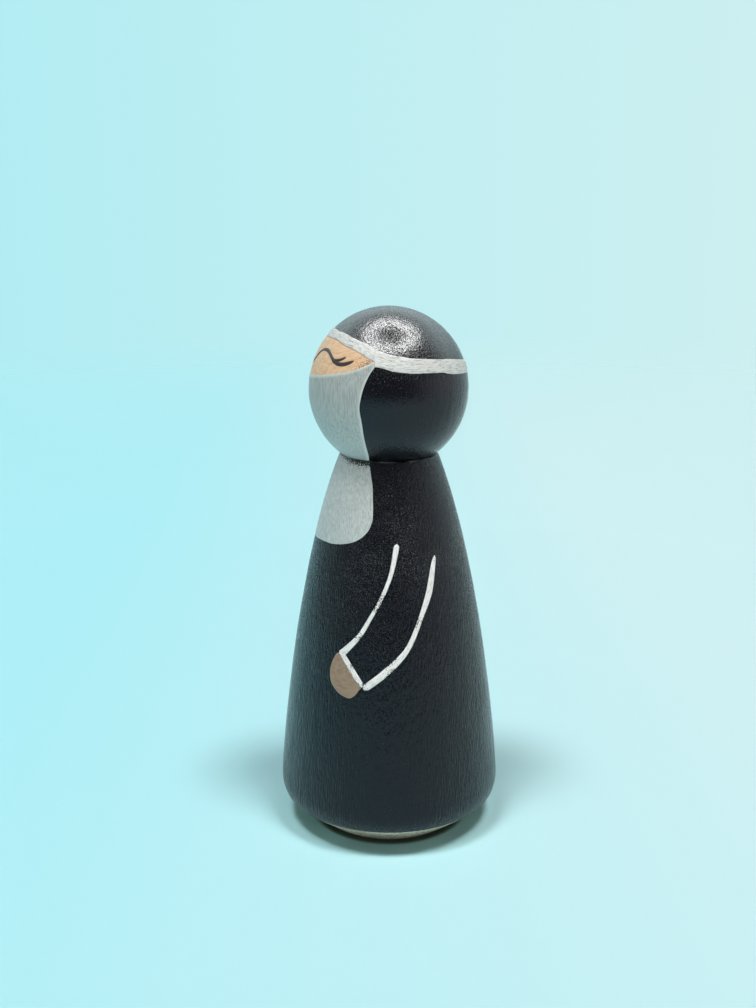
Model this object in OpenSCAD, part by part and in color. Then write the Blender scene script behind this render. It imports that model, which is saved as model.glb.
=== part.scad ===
// Painted wooden peg doll, in millimetres. +Z is up and the face looks towards -Y.
// The origin is the centre of the flat base. Paint is modelled as thin coats on the wood.

/* [Wooden body] */
// Height of the body, from the base to the neck
body_h = 64.6; // [55:0.2:75]
// Diameter of the body at its widest, just above the base
hem_d = 37.6; // [33:0.2:42]
// Height of the widest place above the base
hem_z = 7.4; // [6:0.2:8.4]
// Half width of the ellipse that rounds the hem
hem_round_w = 2.2; // [1:0.1:5]
// Half height of the ellipse that rounds the hem
hem_round_h = 3.6; // [2:0.1:5]
// Degrees that the hem turns under before the straight bevel begins
hem_turn = 64; // [50:1:70]
// Diameter of the flat base, where the bevel ends
base_d = 24.2; // [20:0.2:27]
// Width of the narrow shelf at the neck, round the head's flat
neck_shelf = 0.85; // [0.4:0.05:2]
// Slope of the side at the neck, in degrees from upright
neck_slope = 21.4; // [10:0.2:28]
// How far the neck's slope pulls the side's curve
neck_pull = 21.2; // [10:0.2:28]
// How far the upright hem pulls the side's curve
hem_pull = 3; // [1:0.5:10]

/* [Wooden head] */
// Width of the ball
head_w = 26; // [23:0.2:30]
// Height that the whole ball would have without its flat
head_h = 26.5; // [24:0.1:30]
// Diameter of the flat that the ball stands on
head_flat_d = 14.5; // [12:0.1:18]

/* [Neck dowel] */
// Diameter of the dowel
dowel_d = 6.4; // [4:0.1:8]
// Length of the dowel, half in the body and half in the head
dowel_l = 18; // [10:0.5:20]
// Glue round the dowel
glue_side = 0.05; // [0.02:0.01:0.1]
// Glue under each end of the dowel
glue_end = 0.3; // [0.1:0.1:1]

/* [Coats of paint] */
// Thickness of a coat on the wood
coat_t = 0.15; // [0.1:0.01:0.25]
// Thickness of the white head band, which is painted twice
band_t = 0.22; // [0.12:0.01:0.35]
// Thickness of a stroke on top of a coat
stroke_t = 0.12; // [0.06:0.01:0.2]
// Height of the robe's lower edge above the base
robe_edge_z = 4.7; // [2:0.1:5.8]

/* [Brush strokes] */
// Width of the stroke along a sleeve
sleeve_line_w = 0.85; // [0.5:0.05:1.5]
// Width of the stroke across a wrist
cuff_w = 0.8; // [0.4:0.05:1.2]
// Width of the stroke of a closed eye
eye_line_w = 0.6; // [0.3:0.05:0.8]
// Width of the upper lash
lash_w = 0.5; // [0.2:0.02:0.6]

/* [Hidden] */

round_steps = 120;      // sides of a turned piece where it is shown as a mesh
side_steps = 24;        // steps up the body's side
hem_steps = 8;          // steps round the hem
ball_steps = 30;        // steps from the neck to the crown
line_steps = 4;         // steps between two points of a painted edge

neck_d = head_flat_d + 2 * neck_shelf;
head_seat = head_h / 2 * sqrt(1 - pow(head_flat_d / head_w, 2));
head_z = body_h + head_seat;            // height of the ball's centre
head_rise = head_seat + head_h / 2;
cut_far = hem_d + head_w + body_h;      // longer than the doll, for every cut
eye_turn = -54;                         // degrees from the doll's left side to the middle of its left eye

// Painted edges and strokes are lists of [degrees from the front, share of the height].
// On the head the height is from the neck to the crown, on the body from the base to the neck.
band_top_shares = [
    [0, 0.86], [15, 0.858], [42, 0.841], [68, 0.792], [86, 0.739], [105, 0.709], [143, 0.68],
    [168, 0.654], [180, 0.652]
];
face_top_shares = [
    [0, 0.81], [15, 0.81], [33, 0.804], [49, 0.775], [61, 0.747], [77, 0.69]
];
face_low_shares = [
    [0, 0.557], [13, 0.559], [31, 0.58], [53, 0.612], [67, 0.647], [77, 0.69]
];
band_low_shares = [
    [77.7, 0.655], [82, 0.652], [86.4, 0.6435], [92, 0.628], [104, 0.617], [127.5, 0.6085],
    [140, 0.59], [155, 0.577], [170, 0.569], [180, 0.568]
];
veil_side_shares = [
    [77.7, 0.655], [74.4, 0.6135], [70.6, 0.538], [68, 0.45], [67.5, 0.405], [68.3, 0.34],
    [68.4, 0.27], [68, 0.15], [67, 0.08], [63, 0]
];
bib_edge_shares = [
    [0, 0.786], [13, 0.788], [26.3, 0.791], [42.2, 0.7935], [54, 0.801], [63.4, 0.8135],
    [69.5, 0.83], [72.6, 0.845], [74.5, 0.866], [74.2, 0.893], [73.2, 0.917], [72, 0.945],
    [69.5, 0.968], [66, 1]
];
hand_edge_shares = [
    [59, 0.53], [55.8, 0.5295], [53.2, 0.509], [52, 0.488], [52.2, 0.467], [54, 0.4495],
    [57.4, 0.4345], [61.5, 0.4255], [65.8, 0.4225], [69.2, 0.4335], [71.4, 0.449]
];

// Strokes also have the share of their full width, as the brush goes down and lifts off.
sleeve_front_shares = [
    [94.1, 0.808, 0.7], [93.4, 0.797, 1.06], [89.5, 0.736, 0.8], [83.3, 0.678, 0.74],
    [76.8, 0.631, 0.76], [70.6, 0.586, 0.94], [64.5, 0.555, 1.15], [60.2, 0.5365, 1.34],
    [58.6, 0.532, 1.32]
];
sleeve_back_shares = [
    [123.4, 0.772, 0.3], [122.6, 0.763, 0.72], [120.5, 0.7417, 1.08], [115.6, 0.685, 1.3],
    [108.9, 0.629, 0.97], [102.2, 0.5726, 1], [97.9, 0.544, 1.06], [91.7, 0.516, 1.3],
    [83.9, 0.4856, 1.42], [77, 0.461, 1.36], [73.9, 0.4505, 1.15]
];
cuff_shares = [
    [59, 0.5312, 1.2], [63, 0.5105, 1.25], [66, 0.494, 1.25], [69, 0.4775, 1.2],
    [71.5, 0.4635, 1.05], [72.8, 0.456, 0.75]
];
eye_shares = [
    [7.6, 0.645, 0.3], [12.5, 0.684, 0.4], [17.5, 0.719, 0.55], [22.5, 0.734, 0.8],
    [27, 0.7365, 1], [31, 0.7295, 0.95], [35, 0.7145, 0.9], [38.4, 0.6975, 1], [42, 0.6775, 1.1],
    [46, 0.665, 1.1], [50.5, 0.6615, 1.1], [54.6, 0.668, 1.1], [58, 0.678, 0.85], [61, 0.69, 0.3]
];
lash_shares = [
    [41.5, 0.68, 1.1], [46, 0.6845, 1.1], [49.8, 0.693, 0.85], [53.2, 0.7075, 0.5]
];

// Lists and curves
function reversed(p) = [for (i = [len(p) - 1:-1:0]) p[i]];
function last(p) = p[len(p) - 1];
function spline_at(p, i, u) =
    let (a = p[max(i - 1, 0)], b = p[i], c = p[i + 1], d = p[min(i + 2, len(p) - 1)])
    (2 * b + (c - a) * u + (2 * a - 5 * b + 4 * c - d) * u * u + (3 * b - a - 3 * c + d) * u * u * u) / 2;
function spline(p, n = line_steps) = concat(
    [for (i = [0:len(p) - 2]) for (k = [0:n - 1]) spline_at(p, i, k / n)],
    [last(p)]
);
function bezier_at(p, u) =
    pow(1 - u, 3) * p[0] + 3 * pow(1 - u, 2) * u * p[1] + 3 * (1 - u) * u * u * p[2] + u * u * u * p[3];

// Turned outlines as [radius, height], t mm outside the wood
function hem_arc(t, turn) =
    [for (i = [0:hem_steps]) let (w = turn * (1 - i / hem_steps)) [
        hem_d / 2 - hem_round_w + (hem_round_w + t) * cos(w),
        hem_z - (hem_round_h + t) * sin(w)
    ]];
function hem_curve(t, low) =
    let (
        top = hem_arc(t, hem_turn)[0],
        run = hem_arc(0, hem_turn)[0] - [base_d / 2, 0]
    )
    low < top.y
        ? concat([top - run * (top.y - low) / run.y], hem_arc(t, hem_turn))
        : hem_arc(t, asin((hem_z - low) / (hem_round_h + t)));
function side_curve(t) =
    let (
        low = [hem_d / 2 + t, hem_z],
        high = [neck_d / 2 + t, body_h],
        pull = neck_pull * [sin(neck_slope), -cos(neck_slope)]
    )
    [for (i = [0:side_steps]) bezier_at([low, low + [0, hem_pull], high + pull, high], i / side_steps)];
function body_curve(t, low) = concat([for (p = hem_curve(t, low)) if (p.y < hem_z) p], side_curve(t));
function head_curve(t) =
    let (start = asin(-head_seat / (head_h / 2 + t)))
    [for (i = [0:ball_steps]) let (w = start + (90 - start) * i / ball_steps) [
        i == ball_steps ? 0 : (head_w / 2 + t) * cos(w),
        head_z + (head_h / 2 + t) * sin(w)
    ]];
function body_r_at(z, t) = lookup(z, [for (p = side_curve(t)) [p.y, p.x]]);
function head_r_at(z, t) =
    (head_w / 2 + t) * sqrt(max(0, 1 - pow((z - head_z) / (head_h / 2 + t), 2)));
function skin_r_at(on_head, z, t) = on_head ? head_r_at(z, t) : body_r_at(z, t);
function height_of(on_head, share) = on_head ? body_h + share * head_rise : share * body_h;

// A place on the painted surface, as [sideways, height] in a view that is turned
// so many degrees from the doll's left side
function seen_at(on_head, angle, z, turn) = [-skin_r_at(on_head, z, coat_t) * cos(angle - turn), z];
function seen(on_head, shares, turn = 0) =
    [for (p = spline(shares)) seen_at(on_head, p.x, height_of(on_head, p.y), turn)];

// The two sides of a stroke, its width laid out on the rolled-out surface
function stroke(on_head, shares, width, turn = 0) =
    let (
        path = spline(shares),
        flat = [for (p = path) let (z = height_of(on_head, p.y))
            [p.x, z, skin_r_at(on_head, z, coat_t) * PI / 180]],
        sides = [for (i = [0:len(path) - 1]) let (
            a = flat[max(i - 1, 0)],
            b = flat[min(i + 1, len(path) - 1)],
            along = [(b.x - a.x) * flat[i].z, b.y - a.y],
            across = [along.y, -along.x] / norm(along) * width / 2 * path[i].z
        ) [across.x / flat[i].z, across.y]]
    )
    concat(
        [for (i = [0:len(path) - 1])
            seen_at(on_head, flat[i].x + sides[i].x, flat[i].y + sides[i].y, turn)],
        [for (i = [len(path) - 1:-1:0])
            seen_at(on_head, flat[i].x - sides[i].x, flat[i].y - sides[i].y, turn)]
    );

// Shared shapes
module turned(outline) rotate_extrude($fn = round_steps) polygon(outline);

module ball_coat(inner, outer) turned(concat(head_curve(outer), reversed(head_curve(inner))));

module skirt_coat(inner, outer) turned(
    concat(body_curve(outer, robe_edge_z), reversed(body_curve(inner, robe_edge_z)))
);

// The coat on the body's wood also covers the shelf, up to the paint on the head
module wrapped_coat(t) turned(concat(
    body_curve(t, robe_edge_z),
    [
        [neck_d / 2 + t / 2, body_h + t],
        [head_r_at(body_h + t, t), body_h + t],
        [head_r_at(body_h, t), body_h]
    ],
    reversed(body_curve(0, robe_edge_z))
));

// Cuts an outline along such a view, through the whole doll or only through its near half
module cut_along(turn, through) rotate([90, 0, 90 + turn])
    linear_extrude(through ? 2 * cut_far : cut_far, center = through) children();

module dowel_hole(depth) cylinder(d = dowel_d + 2 * glue_side, h = depth, $fn = round_steps);

// Flat outlines, seen from the doll's left side
module above_band() polygon(concat(
    [[-cut_far, height_of(true, band_top_shares[0].y)]],
    seen(true, band_top_shares),
    [[cut_far, height_of(true, last(band_top_shares).y)], [cut_far, cut_far], [-cut_far, cut_far]]
));

module band_outline() polygon(concat(
    [[-cut_far, height_of(true, band_top_shares[0].y)]],
    seen(true, band_top_shares),
    [
        [cut_far, height_of(true, last(band_top_shares).y)],
        [cut_far, height_of(true, last(band_low_shares).y)]
    ],
    reversed(seen(true, band_low_shares)),
    reversed(seen(true, face_top_shares)),
    [[-cut_far, height_of(true, face_top_shares[0].y)]]
));

module face_outline() polygon(concat(
    [[-cut_far, height_of(true, face_top_shares[0].y)]],
    seen(true, face_top_shares),
    [for (i = [1:len(seen(true, face_low_shares)) - 1]) reversed(seen(true, face_low_shares))[i]],
    [[-cut_far, height_of(true, face_low_shares[0].y)]]
));

module veil_outline() polygon(concat(
    [[-cut_far, height_of(true, face_low_shares[0].y)]],
    seen(true, face_low_shares),
    seen(true, veil_side_shares),
    [[last(seen(true, veil_side_shares)).x, 0], [-cut_far, 0]]
));

module scarf_outline() polygon(concat(
    [[last(seen(true, veil_side_shares)).x, 0]],
    reversed(seen(true, veil_side_shares)),
    [for (i = [1:len(seen(true, band_low_shares)) - 1]) seen(true, band_low_shares)[i]],
    [[cut_far, height_of(true, last(band_low_shares).y)], [cut_far, 0]]
));

module bib_outline() polygon(concat(
    [[-cut_far, height_of(false, bib_edge_shares[0].y)]],
    seen(false, bib_edge_shares),
    [[last(seen(false, bib_edge_shares)).x, cut_far], [-cut_far, cut_far]]
));

module cuff_outline() polygon(stroke(false, cuff_shares, cuff_w));

module sleeve_outline(shares) difference() {
    polygon(stroke(false, shares, sleeve_line_w));
    cuff_outline();
}

module hand_outline() difference() {
    polygon(seen(false, hand_edge_shares));
    cuff_outline();
    sleeve_outline(sleeve_front_shares);
    sleeve_outline(sleeve_back_shares);
}

module eye_outline() {
    polygon(stroke(true, eye_shares, eye_line_w, eye_turn));
    polygon(stroke(true, lash_shares, lash_w, eye_turn));
}

// Paint on one side of the doll: an outline on top of the robe or of the face
module on_robe() intersection() {
    skirt_coat(coat_t, coat_t + stroke_t);
    cut_along(0, false) children();
}

module on_face() intersection() {
    ball_coat(coat_t, coat_t + stroke_t);
    cut_along(eye_turn, false) children();
}

module on_head_wood(thickness) intersection() {
    ball_coat(0, thickness);
    cut_along(0, true) children();
}

// Wood
module body() color("burlywood") difference() {
    turned(concat(body_curve(0, 0), [[0, body_h], [0, 0]]));
    translate([0, 0, body_h - dowel_l / 2 - glue_end]) dowel_hole(dowel_l);
}

module head() color("burlywood") difference() {
    turned(concat(head_curve(0), [[0, body_h]]));
    translate([0, 0, body_h + dowel_l / 2 + glue_end - dowel_l]) dowel_hole(dowel_l);
}

module neck_dowel() color("tan")
    translate([0, 0, body_h - dowel_l / 2]) cylinder(d = dowel_d, h = dowel_l, $fn = round_steps);

// Coats on the wood
module robe_coat() color([0.09, 0.1, 0.12]) difference() {
    wrapped_coat(coat_t);
    cut_along(0, true) bib_outline();
}

module bib() color([0.66, 0.69, 0.68]) intersection() {
    wrapped_coat(coat_t);
    cut_along(0, true) bib_outline();
}

module cap_coat() color([0.09, 0.1, 0.11]) on_head_wood(coat_t) above_band();

module scarf_coat() color([0.08, 0.09, 0.11]) on_head_wood(coat_t) scarf_outline();

module headband() color([0.9, 0.92, 0.91]) on_head_wood(band_t) band_outline();

module face_patch() color([0.84, 0.68, 0.51]) on_head_wood(coat_t) face_outline();

module veil() color([0.63, 0.7, 0.71]) on_head_wood(coat_t) veil_outline();

// Strokes on top of the coats
module left_eye() color([0.12, 0.11, 0.12]) on_face() eye_outline();

module right_eye() mirror([1, 0, 0]) left_eye();

module left_sleeve_front() color("white") on_robe() sleeve_outline(sleeve_front_shares);

module right_sleeve_front() mirror([1, 0, 0]) left_sleeve_front();

module left_sleeve_back() color("white") on_robe() sleeve_outline(sleeve_back_shares);

module right_sleeve_back() mirror([1, 0, 0]) left_sleeve_back();

module left_cuff() color("white") on_robe() cuff_outline();

module right_cuff() mirror([1, 0, 0]) left_cuff();

module left_hand() color([0.57, 0.48, 0.38]) on_robe() hand_outline();

module right_hand() mirror([1, 0, 0]) left_hand();

body();
head();
neck_dowel();
robe_coat();
bib();
cap_coat();
scarf_coat();
headband();
face_patch();
veil();
left_eye();
right_eye();
left_sleeve_front();
right_sleeve_front();
left_sleeve_back();
right_sleeve_back();
left_cuff();
right_cuff();
left_hand();
right_hand();
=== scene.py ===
from math import asin, cos, pi, radians, sin

import bmesh
import bpy
import numpy as np
from mathutils import Matrix, Vector, noise


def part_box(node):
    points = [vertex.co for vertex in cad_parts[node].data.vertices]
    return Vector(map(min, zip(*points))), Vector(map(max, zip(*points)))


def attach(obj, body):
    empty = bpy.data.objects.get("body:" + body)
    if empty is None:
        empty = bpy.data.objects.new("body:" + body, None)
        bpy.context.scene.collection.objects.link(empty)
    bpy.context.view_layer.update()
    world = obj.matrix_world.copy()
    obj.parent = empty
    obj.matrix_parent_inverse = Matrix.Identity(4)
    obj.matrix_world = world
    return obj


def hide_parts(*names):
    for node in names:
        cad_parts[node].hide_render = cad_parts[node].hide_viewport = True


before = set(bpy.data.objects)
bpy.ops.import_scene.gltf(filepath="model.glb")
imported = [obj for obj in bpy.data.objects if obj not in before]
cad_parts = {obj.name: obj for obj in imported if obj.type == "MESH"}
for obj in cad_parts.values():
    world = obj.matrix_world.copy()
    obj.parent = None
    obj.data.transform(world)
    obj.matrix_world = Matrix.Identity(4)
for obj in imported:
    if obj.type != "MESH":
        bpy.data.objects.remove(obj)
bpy.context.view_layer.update()  # wood, dowel and coats of paint, packed
scene = bpy.context.scene
scene.view_settings.view_transform = "Standard"
mm = 0.001
coat = 0.15  # mm, a coat of paint on the wood
sunk = 0.03  # mm that the back of a stroke lies in the coat below it
fullTurn = 360

# the turned wood, in mm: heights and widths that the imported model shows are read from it
dollSize = {
    "bodyTop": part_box("body")[1].z / mm,
    "crown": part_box("head")[1].z / mm,
    "ballRadius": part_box("scarf_coat")[1].x / mm - coat,
    "hemRadius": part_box("robe_coat")[1].x / mm - coat,
    "hemZ": 7.4,
    "hemRoundW": 2.2,
    "hemRoundH": 3.6,
    "hemTurn": 64,      # degrees that it turns under before the bevel
    "baseRadius": 12.1,
    "baseRim": 0.12,    # rounding of the edge that it stands on
    "neckShelf": 0.85,  # flat ring round the ball
    "neckRim": 0.16,    # rounding of that ring's edge
    "flatRadius": 7.25,
    "neckSlope": 21.4,  # degrees from upright, just below the neck
    "neckPull": 21.2,   # how far the side holds its direction, at the neck and at the hem
    "hemPull": 3.0,
    "ballHalfHeight": 13.25,
    "aboutRadius": 12,  # of the ball at the band
    "robeEdgeZ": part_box("robe_coat")[0].z / mm,
}


# Outlines of the turned wood
def hemArc(turn, steps=24):
    turns = [turn * (1 - i / steps) for i in range(steps)]
    return [
        (
            dollSize["hemRadius"] - dollSize["hemRoundW"] * (1 - cos(w)),
            dollSize["hemZ"] - dollSize["hemRoundH"] * sin(w),
        )
        for w in turns
    ]


# Below the rounded hem a straight bevel runs in to the base.
def hemOutline(low):
    arc = hemArc(radians(dollSize["hemTurn"]))
    topR, topZ = arc[0]
    if low >= topZ:
        return hemArc(asin((dollSize["hemZ"] - low) / dollSize["hemRoundH"]))
    base = dollSize["baseRadius"]
    heights = np.linspace(low, topZ, 12, endpoint=False)
    return [(base + (topR - base) * z / topZ, z) for z in heights] + arc


def sidePoint(share):
    neck = dollSize["flatRadius"] + dollSize["neckShelf"]
    slope = radians(dollSize["neckSlope"])
    low = Vector((dollSize["hemRadius"], dollSize["hemZ"]))
    high = Vector((neck, dollSize["bodyTop"]))
    pulls = (
        low,
        low + Vector((0, dollSize["hemPull"])),
        high + dollSize["neckPull"] * Vector((sin(slope), -cos(slope))),
        high,
    )
    weights = ((1 - share) ** 3, 3 * (1 - share) ** 2 * share, 3 * (1 - share) * share**2, share**3)
    return sum((w * p for w, p in zip(weights, pulls)), Vector((0, 0)))[:]


def skirtOutline(low, steps=90):
    return hemOutline(low) + [sidePoint(i / steps) for i in range(steps + 1)]


def ballOutline(steps=90):
    middle = dollSize["crown"] - dollSize["ballHalfHeight"]
    start = -asin((middle - dollSize["bodyTop"]) / dollSize["ballHalfHeight"])
    turns = [start + (pi / 2 - start) * i / steps for i in range(steps + 1)]
    return [
        (dollSize["ballRadius"] * cos(w), middle + dollSize["ballHalfHeight"] * sin(w))
        for w in turns[:-1]
    ] + [(0, dollSize["crown"])]


# An outline as a skin to paint on: s is the way along it in mm.
class TurnedSkin:
    def __init__(self, outline):
        self.r, self.z = np.array(outline, float).T
        dr, dz = np.gradient(self.r), np.gradient(self.z)
        length = np.hypot(dr, dz)
        self.outR, self.outZ = dz / length, -dr / length
        self.s = np.concatenate([[0], np.cumsum(np.hypot(np.diff(self.r), np.diff(self.z)))])

    def along(self, z):
        return np.interp(z, self.z, self.s)

    def radius(self, z):
        return np.interp(z, self.z, self.r)

    def place(self, angle, s, lift):
        r = np.interp(s, self.s, self.r) + np.interp(s, self.s, self.outR) * lift
        z = np.interp(s, self.s, self.z) + np.interp(s, self.s, self.outZ) * lift
        turn = np.radians(angle)
        return np.stack([r * np.sin(turn), -r * np.cos(turn), z], -1)


# The narrow shelf at the neck, from a softly rounded corner in to the ball.
def shelfOutline():
    neck = dollSize["flatRadius"] + dollSize["neckShelf"]
    soft = dollSize["neckRim"]
    corner = [
        (neck - soft + soft * cos(w), dollSize["bodyTop"] - soft + soft * sin(w))
        for w in np.linspace(radians(20), pi / 2, 6)
    ]
    inner = np.linspace(neck - soft, dollSize["flatRadius"] - coat, 5)[1:]
    return corner + [(r, dollSize["bodyTop"]) for r in inner]


def neckedOutline(low):
    return [p for p in skirtOutline(low) if p[1] < dollSize["bodyTop"] - 0.2] + shelfOutline()


skirtSkin = TurnedSkin(neckedOutline(dollSize["robeEdgeZ"]))
cornerS = skirtSkin.s[-len(shelfOutline()):]
ballSkin = TurnedSkin(ballOutline())

# Painted edges and strokes: degrees from the front, share of the height, share of the full width.
# On the head the height is from the neck to the crown, on the body from the base to the neck.
bandTop = [
    (0, 0.86), (15, 0.858), (42, 0.841), (68, 0.792), (86, 0.739), (105, 0.709), (143, 0.68),
    (168, 0.654), (180, 0.652),
]
faceTop = [(0, 0.81), (15, 0.81), (33, 0.804), (49, 0.775), (61, 0.747), (77, 0.69)]
faceLow = [(0, 0.557), (13, 0.559), (31, 0.58), (53, 0.612), (67, 0.647), (77, 0.69)]
bandLow = [
    (77.7, 0.655), (82, 0.652), (86.4, 0.6435), (92, 0.628), (104, 0.617), (127.5, 0.6085),
    (140, 0.59), (155, 0.577), (170, 0.569), (180, 0.568),
]
veilSide = [
    (63, 0), (67, 0.08), (68, 0.15), (68.4, 0.27), (68.3, 0.34), (67.5, 0.405), (68, 0.45),
    (70.6, 0.538), (74.4, 0.6135), (77.7, 0.655),
]
bibLow = [
    (0, 0.786), (13, 0.788), (26.3, 0.791), (42.2, 0.7935), (54, 0.801), (63.4, 0.8135),
    (69.5, 0.83), (72.6, 0.845), (74.5, 0.866),
]
bibSide = [
    (74.5, 0.866), (74.2, 0.893), (73.2, 0.917), (72, 0.945), (69.5, 0.968), (66, 1),
]
handEdge = [
    (59, 0.53), (55.8, 0.5295), (53.2, 0.509), (52, 0.488), (52.2, 0.467), (54, 0.4495),
    (57.4, 0.4345), (61.5, 0.4255), (65.8, 0.4225), (69.2, 0.4335), (71.4, 0.449),
]
sleeveFront = [
    (94.1, 0.808, 0.7), (93.4, 0.797, 1.06), (89.5, 0.736, 0.8), (83.3, 0.678, 0.74),
    (76.8, 0.631, 0.76), (70.6, 0.586, 0.94), (64.5, 0.555, 1.15), (60.2, 0.5365, 1.34),
    (57.4, 0.5275, 1.32),
]
sleeveBack = [
    (123.4, 0.772, 0.3), (122.6, 0.763, 0.72), (120.5, 0.7417, 1.08), (115.6, 0.685, 1.3),
    (108.9, 0.629, 0.97), (102.2, 0.5726, 1), (97.9, 0.544, 1.06), (91.7, 0.516, 1.3),
    (83.9, 0.4856, 1.42), (77, 0.461, 1.36), (73.4, 0.449, 1.15),
]
cuffLine = [
    (58.9, 0.5315, 1.2), (63, 0.5105, 1.25), (66, 0.494, 1.25), (69, 0.4775, 1.2),
    (71.5, 0.4635, 1.05), (73.2, 0.454, 0.8),
]
eyeLine = [
    (7.6, 0.645, 0.3), (12.5, 0.684, 0.4), (17.5, 0.719, 0.55), (22.5, 0.734, 0.8),
    (27, 0.7365, 1), (31, 0.7295, 0.95), (35, 0.7145, 0.9), (38.4, 0.6975, 1), (42, 0.6775, 1.1),
    (46, 0.665, 1.1), (50.5, 0.6615, 1.1), (54.6, 0.668, 1.1), (58, 0.678, 0.85), (61, 0.69, 0.3),
]
lashLine = [
    (41.5, 0.68, 1.1), (46, 0.6845, 1.1), (49.8, 0.693, 0.85), (53.2, 0.7075, 0.5),
]


# A smooth line through the points.
def smoothLine(points, steps=16):
    p = np.array(points, float)
    lines = []
    for i in range(len(p) - 1):
        a, b, c, d = p[max(i - 1, 0)], p[i], p[i + 1], p[min(i + 2, len(p) - 1)]
        u = np.linspace(0, 1, steps, endpoint=False)[:, None]
        lines.append(
            (2 * b + (c - a) * u + (2 * a - 5 * b + 4 * c - d) * u**2 + (3 * b - a - 3 * c + d) * u**3) / 2
        )
    return np.concatenate(lines + [p[-1:]])


def headHeight(share):
    return dollSize["bodyTop"] + np.asarray(share) * (dollSize["crown"] - dollSize["bodyTop"])


def bodyHeight(share):
    return np.asarray(share) * dollSize["bodyTop"]


# How far a hand-painted edge strays, in mm, at these degrees round the doll.
def handWobble(angle, seed, size=0.07, every=9):
    flat = np.ravel(np.abs(angle))
    stray = [
        noise.noise((a / every, seed, 0.5)) + 0.5 * noise.noise((a / every * 3, seed, 9)) for a in flat
    ]
    return size * np.array(stray).reshape(np.shape(angle))


# Height in mm of a painted edge at these degrees, the same to the left and to the right.
def edgeHeight(points, heightOf, angle, seed):
    line = smoothLine(points)
    turn = np.abs(angle)
    fade = np.clip(np.minimum(turn - line[0, 0], line[-1, 0] - turn) / 4 + 0.001, 0, 1)
    keepEnds = np.where((line[0, 0] == 0) & (turn < 4), 1, np.where(line[-1, 0] == 180, 1, fade))
    return heightOf(np.interp(turn, line[:, 0], line[:, 1])) + handWobble(turn, seed) * keepEnds


# Where the back of a sheet lies, kept on its points until the sheet is closed.
innerNames = ("innerX", "innerY", "innerZ")


# One sheet of paint, a grid of columns and rows that is laid on a skin and given its thickness.
# layout turns column and row shares into degrees and mm along the skin.
def paintGrid(bm, columns, rows, layout, skin, paint):
    layers = bm.verts.layers.float
    rimLayer, *innerLayers = (layers.get(n) or layers.new(n) for n in ("rim", *innerNames))
    brush = bm.loops.layers.uv.get("brush") or bm.loops.layers.uv.new("brush")
    made = bmesh.ops.create_grid(bm, x_segments=columns, y_segments=rows, size=0.5)["verts"]
    u, v = np.meshgrid(np.linspace(0, 1, columns + 1), np.linspace(0, 1, rows + 1))
    angle, s = layout(u, v)
    bare = skin.place(angle, s, 0)
    alongU = np.concatenate(
        [np.zeros((rows + 1, 1)), np.cumsum(np.linalg.norm(np.diff(bare, axis=1), axis=2), 1)], 1
    )
    alongV = np.concatenate(
        [np.zeros((1, columns + 1)), np.cumsum(np.linalg.norm(np.diff(bare, axis=0), axis=2), 0)], 0
    )
    far = 9.0  # mm, for a point with no painted edge near it
    ways = {
        "left": alongU,
        "right": alongU[:, -1:] - alongU,
        "low": alongV,
        "high": alongV[-1:] - alongV,
    }
    rim = np.minimum.reduce([np.full_like(u, far)] + [ways[side] for side in paint["edges"]])
    lift = paint["lift"](u, v, angle, s, bare, rim)
    outer = skin.place(angle, s, lift)
    inner = skin.place(angle, s, paint.get("under", 0))
    for vert in made:
        i, j = round((vert.co.x + 0.5) * columns), round((vert.co.y + 0.5) * rows)
        vert.co = Vector(outer[j, i]) * mm
        vert[rimLayer] = rim[j, i]
        for layer, value in zip(innerLayers, inner[j, i]):
            vert[layer] = value * mm
        for loop in vert.link_loops:
            loop[brush].uv = (alongU[j, i] * mm, alongV[j, i] * mm)


def linkObject(bm, name):
    mesh = bpy.data.meshes.new(name)
    bm.to_mesh(mesh)
    bm.free()
    piece = bpy.data.objects.new(name, mesh)
    scene.collection.objects.link(piece)
    return piece


# An object shaded smooth, apart from edges that turn more than sharpTurn degrees.
def smoothObject(bm, name, sharpTurn):
    bmesh.ops.recalc_face_normals(bm, faces=bm.faces)
    for face in bm.faces:
        face.smooth = True
    for edge in bm.edges:
        edge.smooth = edge.is_manifold and edge.calc_face_angle(pi) < radians(sharpTurn)
    return linkObject(bm, name)


# Closes seams narrower than weld mm, gives the sheet a back that lies on what it is painted on,
# and makes the object.
def finishPaint(bm, name, weld=0.004):
    bmesh.ops.remove_doubles(bm, verts=bm.verts, dist=weld * mm)
    bmesh.ops.dissolve_degenerate(bm, edges=bm.edges, dist=weld * mm / 4)
    layers = [bm.verts.layers.float[n] for n in innerNames]
    made = bmesh.ops.extrude_face_region(bm, geom=bm.faces[:], use_keep_orig=True)["geom"]
    for vert in (g for g in made if isinstance(g, bmesh.types.BMVert)):
        vert.co = Vector([vert[layer] for layer in layers])
    for layer in innerNames:
        bm.verts.layers.float.remove(bm.verts.layers.float[layer])
    return smoothObject(bm, name, 48)


def smoothStep(x):
    x = np.clip(x, 0, 1)
    return x * x * (3 - 2 * x)


# Noise at places in mm, as coarse as sizes say along x, y and z.
def noiseAt(points, sizes, seed=0):
    flat = (points / np.array(sizes)).reshape(-1, 3)
    return np.array([noise.noise(p + seed) for p in flat]).reshape(points.shape[:-1])


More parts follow.
